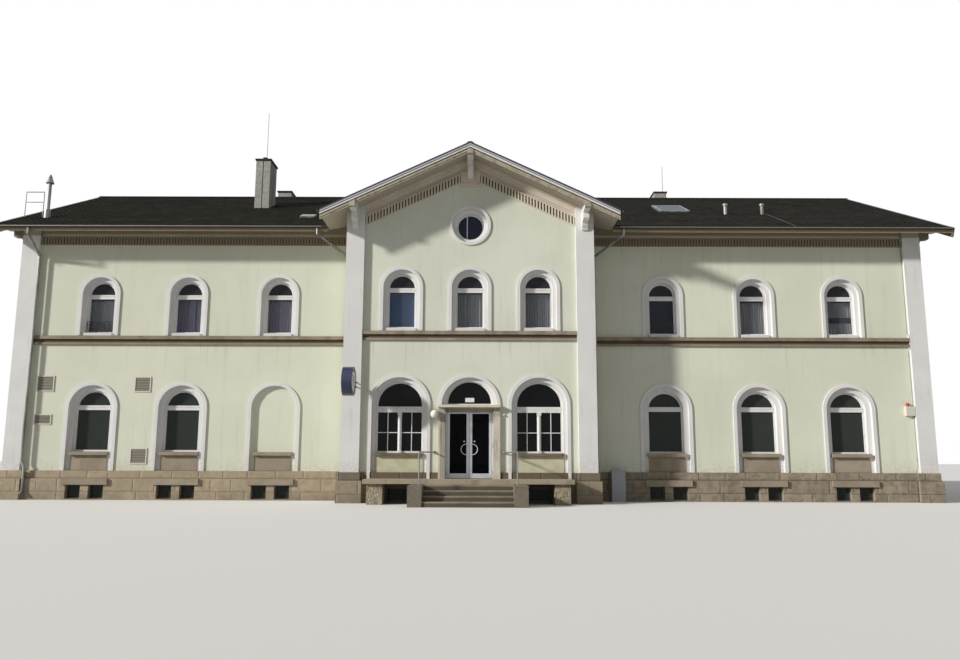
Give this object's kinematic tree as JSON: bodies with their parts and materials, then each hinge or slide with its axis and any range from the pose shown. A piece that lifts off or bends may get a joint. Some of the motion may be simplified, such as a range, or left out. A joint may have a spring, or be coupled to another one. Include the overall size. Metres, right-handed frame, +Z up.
{
  "type": "railway station building",
  "caption": "Two-storey station building with a projecting gabled centre bay, round-arched windows, stone plinth, shallow gable roof and hinged double entrance door.",
  "frame": {"origin": "on the ground at the centre of the plan", "axes": "+X along the front towards the viewer's right, -Y out of the front, +Z up"},
  "size_m": [36.98, 22.34, 17.22],
  "materials": {
    "plinth": "rough",
    "stucco": "matt",
    "white_render": "matt",
    "sandstone": "rough",
    "granite": "rough",
    "roof": "rough",
    "white_wood": "satin",
    "glass": "gloss",
    "zinc": "matt",
    "floor": "matt",
    "chimney": "rough",
    "aluminium": "satin",
    "steel": "satin",
    "clock_blue": "satin"
  },
  "bodies": {
    "building": {"cellar_lintels": "sandstone", "chimneys": "chimney", "cornices": "white_render", "door_frame": "aluminium", "door_portals": "granite", "floor_attic": "floor", "floor_ground": "floor", "floor_upper": "floor", "handrails": "steel", "lamps": "white_render", "pilasters": "white_render", "plinth_bays": "plinth", "plinth_corners": "plinth", "plinth_ends": "plinth", "plinth_wings": "plinth", "rainwater_goods": "zinc", "rear_door": "aluminium", "ridge_caps": "roof", "roof_bays": "roof", "roof_fittings": "zinc", "roof_main_front": "roof", "roof_main_rear": "roof", "station_clock": "clock_blue", "steps": "granite", "string_courses": "sandstone", "surrounds_ground": "white_render", "surrounds_upper": "white_render", "terrace_blocks": "granite", "terrace_slabs": "granite", "verge_boards": "white_wood", "verge_brackets": "white_wood", "wall_fittings": "steel", "wall_over_door": "stucco", "wall_rear_bay": "stucco", "walls_bay_sides": "stucco", "walls_beside_door": "stucco", "walls_ends": "stucco", "walls_wings": "stucco", "window_frames": "white_wood", "window_glass": "glass", "window_sills": "sandstone"},
    "leaf_left": {"door_leaf_left": "aluminium", "door_glass_left": "glass"},
    "leaf_right": {"door_leaf_right": "aluminium", "door_glass_right": "glass"}
  },
  "joints": [
    {"name": "leaf_left_hinge", "type": "hinge", "parent": "building", "child": "leaf_left", "pos_m": [-0.807, -8.457, 1], "axis": [0, 0, -1], "range_deg": [0, 90]},
    {"name": "leaf_right_hinge", "type": "hinge", "parent": "building", "child": "leaf_right", "pos_m": [0.807, -8.457, 1], "axis": [0, 0, 1], "range_deg": [0, 90]}
  ]
}
